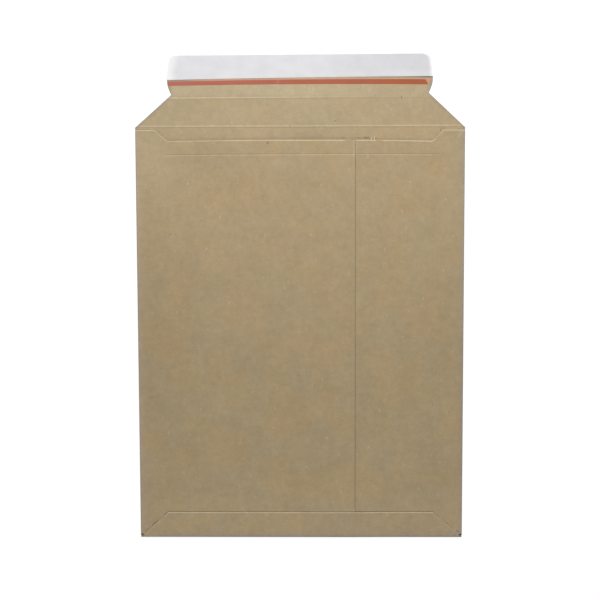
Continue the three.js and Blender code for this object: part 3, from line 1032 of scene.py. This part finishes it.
# the boldest flecks in the pulp, as middles from the flap's fold
PALE_FLECKS = (
    (-0.9, -157.0), (4.4, -263.9), (83.4, -41.8), (110.7, -55.5), (78.1, -161.6),
    (63.7, -103.6), (-71.5, -92.9), (-107.2, -97.5), (6.7, 28.8), (12.8, 24.3),
    (-110.0, -307.6), (-114.6, -311.8), (-118.9, -315.4), (119.4, -314.0), (122.8, -317.3),
)
DARK_FLECKS = (
    (-1.6, -191.4), (-114.8, -208.9), (-107.2, -186.0), (114.5, -221.0),
    (-44.2, -242.5), (-24.4, -12.0), (-48.0, -113.5), (-99.6, -82.2),
)
FLECK_RADIUS = 0.8

# unevenness of the pulp, each as a size, its detail and how strongly it shows, and the two runs of
# its fibres, each as a stretch and a turn
PULP_NOISE = ((55.0, 2.0, 0.14), (16.0, 2.0, 0.18), (5.0, 2.0, 0.19), (1.6, 3.0, 0.185))
FIBRE_RUNS = (((0.16, 1.0), 0.3), ((1.0, 0.16), -0.4))
FIBRE_SIZE = 1.2
FIBRE_SWING = 0.08

# pale lines beside the creases, partly pressed fibres and partly painted highlight on each crease's lit
# side, each as how far past the crease it lies and its width; the two lips of the seam, painted as
# highlight lines; and the painted highlight along the pinched dent
ROOT_LINE = (0.6, 1.8)
SPINE_LINE = (0.4, 1.05)
SPINE_LINE_FADE = (60.0, -90.0)
SPINE_LINE_STRENGTH = 3.0
RELIEF_LINE = (-0.45, 1.1)
SEAM_LIPS = ((SEAM_X - 1.0, 0.9), (SEAM_X + 1.4, 0.8))
SEAM_LIPS_FADE = (HEIGHT - 26.0, RELIEF_Y)
SEAM_LIPS_STRENGTH = 1.4
PINCHED_STRENGTH = 0.7

# painted contact shadows: beside the seam's edge, and round the bottom flap, deeper along its slanted
# sides
SEAM_SHADOW = (SEAM_X + 0.35, 0.9)
SEAM_SHADOW_STRENGTH = 0.5
FLAP_SHADOW = (0.9, 0.1)
FLAP_SHADOW_DEEPER = (-0.8, -1.6)

# edges that lie close: the bottom flap's slanted sides, and the upper end of the seam
CLOSED_SIDE_WIDTH = 4.0
CLOSED_SIDE_FADE = (-0.4, -1.4)
CLOSED_SEAM_WIDTH = 5.0
CLOSED_SEAM_FADE = (HEIGHT - 23.0, HEIGHT - 19.0)
CLOSED_SEAM_SHARE = 0.8

# painted shade: how much dimmer the flap's right end is painted, taking back part of its painted light
DIM_END = 0.36
DIM_END_FROM = (20.0, 80.0)

# how much duller the middle of the envelope is, and how much more at the side folds
DULLER = 0.03
DULLER_AT_FOLDS = 0.055
DULLER_FROM = 55.0
DULLER_STRETCH = (HEIGHT * 0.42, HEIGHT * 0.9)

# a soft line of painted shade above the mouth's edge, as how far past it and its width
MOUTH_LINE = (1.0, 1.9)
MOUTH_LINE_FADE = 2.0
MOUTH_LINE_STRENGTH = 0.085

# how strongly the folds' wear and painted shade, the pressed lines with their painted highlight, the
# pale edges with their painted highlight, the grey edges, the painted crevice shade and the painted
# contact shadows show, and where the colour on the folds changes between the left fold and the rest
FOLD_COLOUR_CHANGES = (8.0 - BEND_X, 16.0 - BEND_X)
FOLD_WEAR_AND_SHADE_SHOWS = 0.75
PRESSED_AND_HIGHLIGHT_SHOWS = 0.27
EDGE_SHOWS = 0.9
CREVICE_SHADE_SHOWS = 0.5
CONTACT_SHADOWS_SHOW = 0.36


def pressed_and_highlight_lines(s, x, y):
    """The pale lines along the flap's fold and spine, the relief crease, the seam and the dent, partly
    crushed fibres and partly painted highlight.
    """
    root = s.stripe(s.past(x, y, HEIGHT + ROOT_BEAD, ROOT_SLANT), *ROOT_LINE)
    spine = s.stripe(s.past(x, y, HEIGHT + SPINE_CREASE, SPINE_SLANT), *SPINE_LINE)
    spine = s.product(spine, s.fade(x, *SPINE_LINE_FADE), SPINE_LINE_STRENGTH)
    relief = s.stripe(s.past(x, y, RELIEF_Y, RELIEF_SLANT, RELIEF_ARCH), *RELIEF_LINE)
    ends = s.between(x, *RELIEF, RELIEF_FADE)
    # painted highlight lines on the seam's two lips
    before, beyond = (s.stripe(x, *lip) for lip in SEAM_LIPS)
    lips = s.product(s.most(before, beyond), s.fade(y, *SEAM_LIPS_FADE))
    lips = s.product(lips, s.mark("front"), SEAM_LIPS_STRENGTH)
    relief = s.most(s.product(relief, ends, s.mark("front")), lips)
    # painted highlight along the pinched dent
    pinched = s.product(s.mark("pinched"), PINCHED_STRENGTH)
    return s.maths("ADD", s.maths("ADD", root, spine), s.most(relief, pinched))


def beside_flap(s, x, above, side):
    """How far a point is outside the bottom flap's slanted edge on one side, -1 or 1."""
    half = WRAP_TOP_HALF[max(side, 0)]
    slope = (WRAP_ROOT - half) / (WRAP_TOP - WRAP_ROOT_RISE)
    across = s.maths("ADD", s.product(x, side), -half)
    total = s.maths("ADD", s.product(above, slope), across)
    return s.product(total, 1.0 / math.hypot(1.0, slope))


def outside_flap(s, x, y):
    """How far a point is above the bottom flap's top edge, and outside its slanted edges."""
    above = s.maths("SUBTRACT", y, WRAP_TOP)
    beside = s.most(beside_flap(s, x, above, -1), beside_flap(s, x, above, 1))
    return above, beside


def closed_edges(s, place, x, y):
    """Where an edge lies so close that it hardly shows: along slanted sides, and the seam's top."""
    above, beside = outside_flap(s, x, y)
    sides = s.product(s.stripe(beside, 0.0, CLOSED_SIDE_WIDTH), s.fade(above, *CLOSED_SIDE_FADE))
    sides = s.product(sides, s.rest(spots(s, place, OPEN_EDGES)))
    seam_top = s.product(s.stripe(x, SEAM_X, CLOSED_SEAM_WIDTH), s.fade(y, *CLOSED_SEAM_FADE))
    return s.most(sides, s.product(seam_top, CLOSED_SEAM_SHARE))


def contact_shadows(s, x, y):
    """Painted contact shadow on the front panels: by the seam's edge and round the bottom flap."""
    seam = s.product(s.stripe(x, *SEAM_SHADOW), SEAM_SHADOW_STRENGTH)
    above, beside = outside_flap(s, x, y)
    deeper = s.maths("ADD", 1.0, s.fade(above, *FLAP_SHADOW_DEEPER))
    round_flap = s.product(s.fade(s.most(above, beside), *FLAP_SHADOW), deeper)
    return s.product(s.most(seam, round_flap), s.mark("front"))


def spots(s, place, marks):
    """The strongest of several oval spots, each given by its middle, its radii and its strength."""
    total = None
    for centre, radii, strength in marks:
        shown = s.product(s.spot(place, centre, radii), strength)
        total = s.most(total, shown) if total else shown
    return total


def bold_flecks(s, place, middles):
    marks = [((x, HEIGHT + y), (FLECK_RADIUS, FLECK_RADIUS), 1.0) for x, y in middles]
    return spots(s, place, marks)


def middle_dulling(s, x, y):
    """How much duller the envelope's middle is than its ends, most of all near the side folds."""
    to_fold = s.fade(s.maths("ABSOLUTE", x), DULLER_FROM, HALF)
    duller = s.maths("ADD", s.product(to_fold, DULLER_AT_FOLDS), DULLER)
    return s.product(duller, s.stripe(y, *DULLER_STRETCH))


def mouth_shade(s, x, y):
    """A soft line of painted shade on the rear panel, just above the front panels' edge."""
    line = s.stripe(s.past(x, y, RECESS, 0.0, RECESS_ARCH), *MOUTH_LINE)
    ends = s.between(x, RECESS_LEFT[1], RECESS_RIGHT[0], MOUTH_LINE_FADE)
    return s.product(line, ends, s.mark("inner"), MOUTH_LINE_STRENGTH)


def pulp_colour(s, place, x):
    """Board colour: cloudy, with painted light on the flap, and paler on parts of the outside."""
    cloud = s.noise(28.0, detail=3.0)
    colour = s.mix(s.fade(cloud, 0.35, 0.7), BOARD_COLOUR, BOARD_WARM)
    # painted light on the flap, weakened by painted shade towards its right end
    dimmer_end = s.rest(s.product(s.fade(x, *DIM_END_FROM), DIM_END))
    colour = s.mix(s.product(s.mark("flap"), dimmer_end), colour, FLAP_COLOUR)
    outside = s.rest(s.mark("inner"))
    return s.mix(s.product(spots(s, place, PALE_CLOUDS), outside), colour, FLAP_COLOUR)


def pulp_shade(s):
    """Light and dark in the pulp, from broad clouds down to short fibres that run two ways."""
    parts = [s.swing(s.noise(size, detail), amount) for size, detail, amount in PULP_NOISE]
    for stretch, turn in FIBRE_RUNS:
        fibres = s.noise(FIBRE_SIZE, 2.0, stretch, turn, distortion=0.6)
        parts.append(s.swing(fibres, FIBRE_SWING))
    return s.product(*parts)


def flecked(s, place, colour):
    """Adds pale flecks, short fibres and dark specks."""
    pale = s.product(s.flecks(19.0, 0.55), 0.75)
    pale = s.most(pale, bold_flecks(s, place, PALE_FLECKS))
    fibres = s.product(s.flecks(26.0, 0.75, stretch=(1.0, 0.4), turn=0.9), 0.45)
    dark = s.product(s.flecks(21.0, 0.5, stretch=(1.0, 0.9), turn=0.5), 0.6)
    dark = s.most(dark, s.product(bold_flecks(s, place, DARK_FLECKS), 0.8))
    colour = s.mix(pale, colour, FIBRE_COLOUR)
    colour = s.mix(fibres, colour, FIBRE_COLOUR)
    return s.mix(dark, colour, SPECK_COLOUR)


def folds_creases_and_edges(s, x, y, colour, broken, shown):
    """Adds wear with painted shade along the folds, the crease lines and pale cut edges, each partly a
    painted highlight, and the greyed cut edges.
    """
    # wear with painted shade along the folds
    fold_colour = s.mix(s.fade(x, *FOLD_COLOUR_CHANGES), LEFT_FOLD_WEAR_AND_SHADE_COLOUR, FOLD_WEAR_AND_SHADE_COLOUR)
    pressed_and_lit = s.product(pressed_and_highlight_lines(s, x, y), broken, PRESSED_AND_HIGHLIGHT_SHOWS)
    colour = s.mix(s.product(s.mark("worn_and_shaded"), broken, FOLD_WEAR_AND_SHADE_SHOWS), colour, fold_colour)
    colour = s.mix(pressed_and_lit, colour, CUT_AND_HIGHLIGHT_COLOUR)
    colour = s.mix(s.product(s.mark("paled_and_lit"), broken, shown, EDGE_SHOWS), colour, CUT_AND_HIGHLIGHT_COLOUR)
    return s.mix(s.product(s.mark("greyed"), broken, EDGE_SHOWS), colour, EDGE_GREY)


def stained_and_shaded(s, place, colour):
    """Adds the stains and the painted shadows, each kind on the faces where it belongs."""
    kinds = (
        (INNER_STAINS_AND_SHADOWS, s.mark("inner")),
        (FRONT_STAINS, s.mark("front")),
        (CORNER_SHADOWS, s.rest(s.mark("front"))),
    )
    for stains, faces in kinds:
        colour = s.mix(s.product(spots(s, place, stains), faces), colour, STAIN_AND_SHADE_COLOUR)
    return colour


def board_material():
    """Grey-brown recycled board: cloudy pulp, short fibres, pale flecks and dark specks, with painted
    light and shade.
    """
    s = Shader("board")
    place = s.place()
    x, y = s.parts(place)
    broken = s.swing(s.noise(9.0, detail=2.0), 1.0)
    shown = s.rest(closed_edges(s, place, x, y))
    colour = flecked(s, place, pulp_colour(s, place, x))
    colour = folds_creases_and_edges(s, x, y, colour, broken, shown)
    colour = stained_and_shaded(s, place, colour)
    # painted shade: ambient occlusion darkens the colour in crevices
    crevice = s.node("ShaderNodeAmbientOcclusion", {"Distance": 1.1 * MM}, samples=8, only_local=True)
    crevice_shade = s.product(s.fade(crevice.outputs["AO"], 0.98, 0.4), shown, CREVICE_SHADE_SHOWS)
    # painted contact shadows beside the seam and round the bottom flap
    contact_shade = s.product(contact_shadows(s, x, y), broken, shown, CONTACT_SHADOWS_SHOW)
    shade = pulp_shade(s)
    for darker in (crevice_shade, contact_shade, middle_dulling(s, x, y), s.product(mouth_shade(s, x, y), broken)):
        shade = s.product(shade, s.rest(darker))
    s.bump(s.noise(0.8, detail=4.0), 0.035)
    return s.finish(s.scaled(colour, shade), Roughness=0.86, Specular_IOR_Level=0.3)


# the tape's pale border and its pale right end, and where the border greys towards the left as
# painted shadow under the liner's edge
TAPE_PALE_BORDER = (-0.15, 0.25)
TAPE_PALE_END = (94.0, 95.6)
TAPE_PALE_END_SLANT = 0.6
TAPE_GREY_END = (-65.0, -92.0)


def tape_material():
    """Red polypropylene film with a pale upper border and a pale right end."""
    s = Shader("tear_tape")
    streaks = s.noise(2.0, detail=3.0, stretch=(0.08, 1.4))
    cloud = s.noise(16.0, detail=2.0)
    colour = s.mix(s.mark("along"), TAPE_LEFT_COLOUR, TAPE_RIGHT_COLOUR)
    x, y = s.parts(s.place())
    upper = s.past(x, y, HEIGHT + TAPE_NEAR + TAPE_CORE, TAPE_SLANT + TAPE_WIDENING, TAPE_ARCH)
    past_end = s.maths("ADD", x, s.product(upper, TAPE_PALE_END_SLANT))
    border = s.most(s.fade(upper, *TAPE_PALE_BORDER), s.fade(past_end, *TAPE_PALE_END))
    # painted shadow under the liner's edge greys the border towards the left
    border_colour = s.mix(s.fade(x, *TAPE_GREY_END), TAPE_BORDER_COLOUR, EDGE_GREY)
    colour = s.mix(s.product(border, 0.8), colour, border_colour)
    colour = s.scaled(colour, s.product(s.swing(streaks, 0.22), s.swing(cloud, 0.16)))
    colour = s.mix(s.product(s.mark("notch"), 0.35), colour, TAPE_PALE)
    s.bump(s.noise(1.2, detail=2.0, stretch=(0.2, 1.0)), 0.02)
    return s.finish(colour, Roughness=0.45, Specular_IOR_Level=0.4)


# painted shade: how much dimmer the liner's right end is painted
LINER_DIM = 0.13
LINER_DIM_FROM = (-20.0, STRIP_HALF)


def liner_material():
    """Silicone-coated release paper, faintly lilac and mottled, with painted light at its ends and
    painted shade towards its right end.
    """
    s = Shader("release_liner")
    mottle = s.noise(12.0, detail=3.0)
    colour = s.mix(s.fade(mottle, 0.3, 0.75), LINER_COLOUR, LINER_SHADE)
    x, _ = s.parts(s.place())
    # painted shade towards the liner's right end
    dimmer = s.rest(s.product(s.fade(x, *LINER_DIM_FROM), LINER_DIM))
    colour = s.scaled(colour, s.product(s.swing(s.noise(1.0, detail=3.0), 0.03), dimmer))
    # painted light at the liner's ends
    colour = s.mix(s.mark("end"), colour, LINER_LIT_END_COLOUR)
    s.bump(s.noise(2.5, detail=2.0), 0.02)
    return s.finish(colour, Roughness=0.5, Specular_IOR_Level=0.35)


def adhesive_material():
    """Hot-melt adhesive, pale amber and glossy."""
    s = Shader("adhesive")
    colour = s.mix(s.noise(3.0, detail=3.0), ADHESIVE_COLOUR, ADHESIVE_DEEP)
    s.bump(s.noise(1.5, detail=2.0), 0.02)
    return s.finish(colour, Roughness=0.25, Specular_IOR_Level=0.5)


# the scene round the object


def camera():
    level = math.cos(CAMERA_YAW)
    back_y = math.sin(CAMERA_TILT) * level
    back = Vector((math.sin(CAMERA_YAW), back_y, math.cos(CAMERA_TILT) * level))
    across = Vector((0.0, 1.0, 0.0)).cross(back).normalized()
    up = back.cross(across)
    right = across * math.cos(CAMERA_ROLL) + up * math.sin(CAMERA_ROLL)
    top = up * math.cos(CAMERA_ROLL) - across * math.sin(CAMERA_ROLL)
    data = bpy.data.cameras.new("camera")
    data.sensor_width = SENSOR
    data.lens = FOCAL_PIXELS * SENSOR / VIEW_SIZE
    made = linked("camera", data)
    turn = Matrix((right, top, back)).transposed().to_4x4()
    made.matrix_world = Matrix.Translation(Vector(CAMERA_TARGET) + back * CAMERA_DISTANCE) @ turn
    bpy.context.scene.camera = made


KEY_PLACE = (0.06, 0.62, 0.80)
KEY_SIZE = 0.5
KEY_POWER = 6.9


def key_lamp():
    """One soft lamp above the envelope's far end, aimed at its middle."""
    data = bpy.data.lights.new("key", "AREA")
    data.size = KEY_SIZE
    data.energy = KEY_POWER
    made = linked("key", data)
    made.location = KEY_PLACE
    made.rotation_euler = (-Vector(KEY_PLACE)).to_track_quat("-Z", "Y").to_euler()


def seen_directly(tree):
    """One for rays from the camera, from a gloss or through glass, and zero for the rest."""
    path = tree.nodes.new("ShaderNodeLightPath")
    total = path.outputs["Is Camera Ray"]
    for name in ("Is Glossy Ray", "Is Transmission Ray"):
        added = tree.nodes.new("ShaderNodeMath")
        added.operation = "MAXIMUM"
        tree.links.new(total, added.inputs[0])
        tree.links.new(path.outputs[name], added.inputs[1])
        total = added.outputs[0]
    return total


WHITE = (1.0, 1.0, 1.0, 1.0)
WORLD_LEVEL = 0.29
WORLD_COLOUR = (1.0, 0.99, 0.97, 1.0)
FLOOR_SIZE = 12.0
FLOOR_DROP = 0.0001
FLOOR_PLAIN = (0.8, 0.8, 0.8, 1.0)
FLOOR_KEEPS = (0.20, 0.20, 0.20, 1.0)
FLOOR_GLOW = 0.90


def shader_node(tree, kind, colour=None, strength=None):
    made = tree.nodes.new(kind)
    if colour:
        made.inputs["Color"].default_value = colour
    if strength:
        made.inputs["Strength"].default_value = strength
    return made


def show(tree, lit, seen, output):
    """Lets one shader light the object while the camera sees the other."""
    chosen = tree.nodes.new("ShaderNodeMixShader")
    tree.links.new(seen_directly(tree), chosen.inputs["Fac"])
    tree.links.new(lit.outputs[0], chosen.inputs[1])
    tree.links.new(seen.outputs[0], chosen.inputs[2])
    tree.links.new(chosen.outputs[0], tree.nodes[output].inputs["Surface"])


def world():
    made = bpy.data.worlds.new("studio")
    made.use_nodes = True
    tree = made.node_tree
    tree.nodes.remove(tree.nodes["Background"])
    fill = shader_node(tree, "ShaderNodeBackground", WORLD_COLOUR, WORLD_LEVEL)
    white = shader_node(tree, "ShaderNodeBackground", WHITE, 1.0)
    show(tree, fill, white, "World Output")
    bpy.context.scene.world = made


def floor_material():
    """Plain to the light, and white to the camera apart from the object's soft shadow."""
    material = bpy.data.materials.new("floor")
    material.use_nodes = True
    tree = material.node_tree
    tree.nodes.remove(tree.nodes["Principled BSDF"])
    plain = shader_node(tree, "ShaderNodeBsdfDiffuse", FLOOR_PLAIN)
    kept = shader_node(tree, "ShaderNodeBsdfDiffuse", FLOOR_KEEPS)
    glow = shader_node(tree, "ShaderNodeEmission", WHITE, FLOOR_GLOW)
    white = tree.nodes.new("ShaderNodeAddShader")
    tree.links.new(kept.outputs[0], white.inputs[0])
    tree.links.new(glow.outputs[0], white.inputs[1])
    show(tree, plain, white, "Material Output")
    return material


def floor():
    half = FLOOR_SIZE / 2
    mesh = bpy.data.meshes.new("floor")
    corners = [(-half, -half, 0.0), (half, -half, 0.0), (half, half, 0.0), (-half, half, 0.0)]
    mesh.from_pydata(corners, [], [(0, 1, 2, 3)])
    mesh.materials.append(floor_material())
    made = linked("floor", mesh)
    made.location.z = -FLOOR_DROP


def dress(piece, material, slot, body, *nodes):
    """Gives a piece its material and has it stand for its nodes on its body."""
    piece.data.materials.append(material)
    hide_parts(*nodes)
    if body:
        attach(piece, body)


camera()
world()
key_lamp()
floor()

board = board_sheet()
dress(board, board_material(), "board", None, "pocket", "closure_flap")
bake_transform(board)
dress(tear_tape(), tape_material(), "tape", "flap_body", "tear_tape")
dress(adhesive_strip(), adhesive_material(), "adhesive", "flap_body", "adhesive_strip")
dress(release_liner(), liner_material(), "liner", "flap_body", "release_liner")

bpy.context.scene.view_settings.view_transform = "Standard"
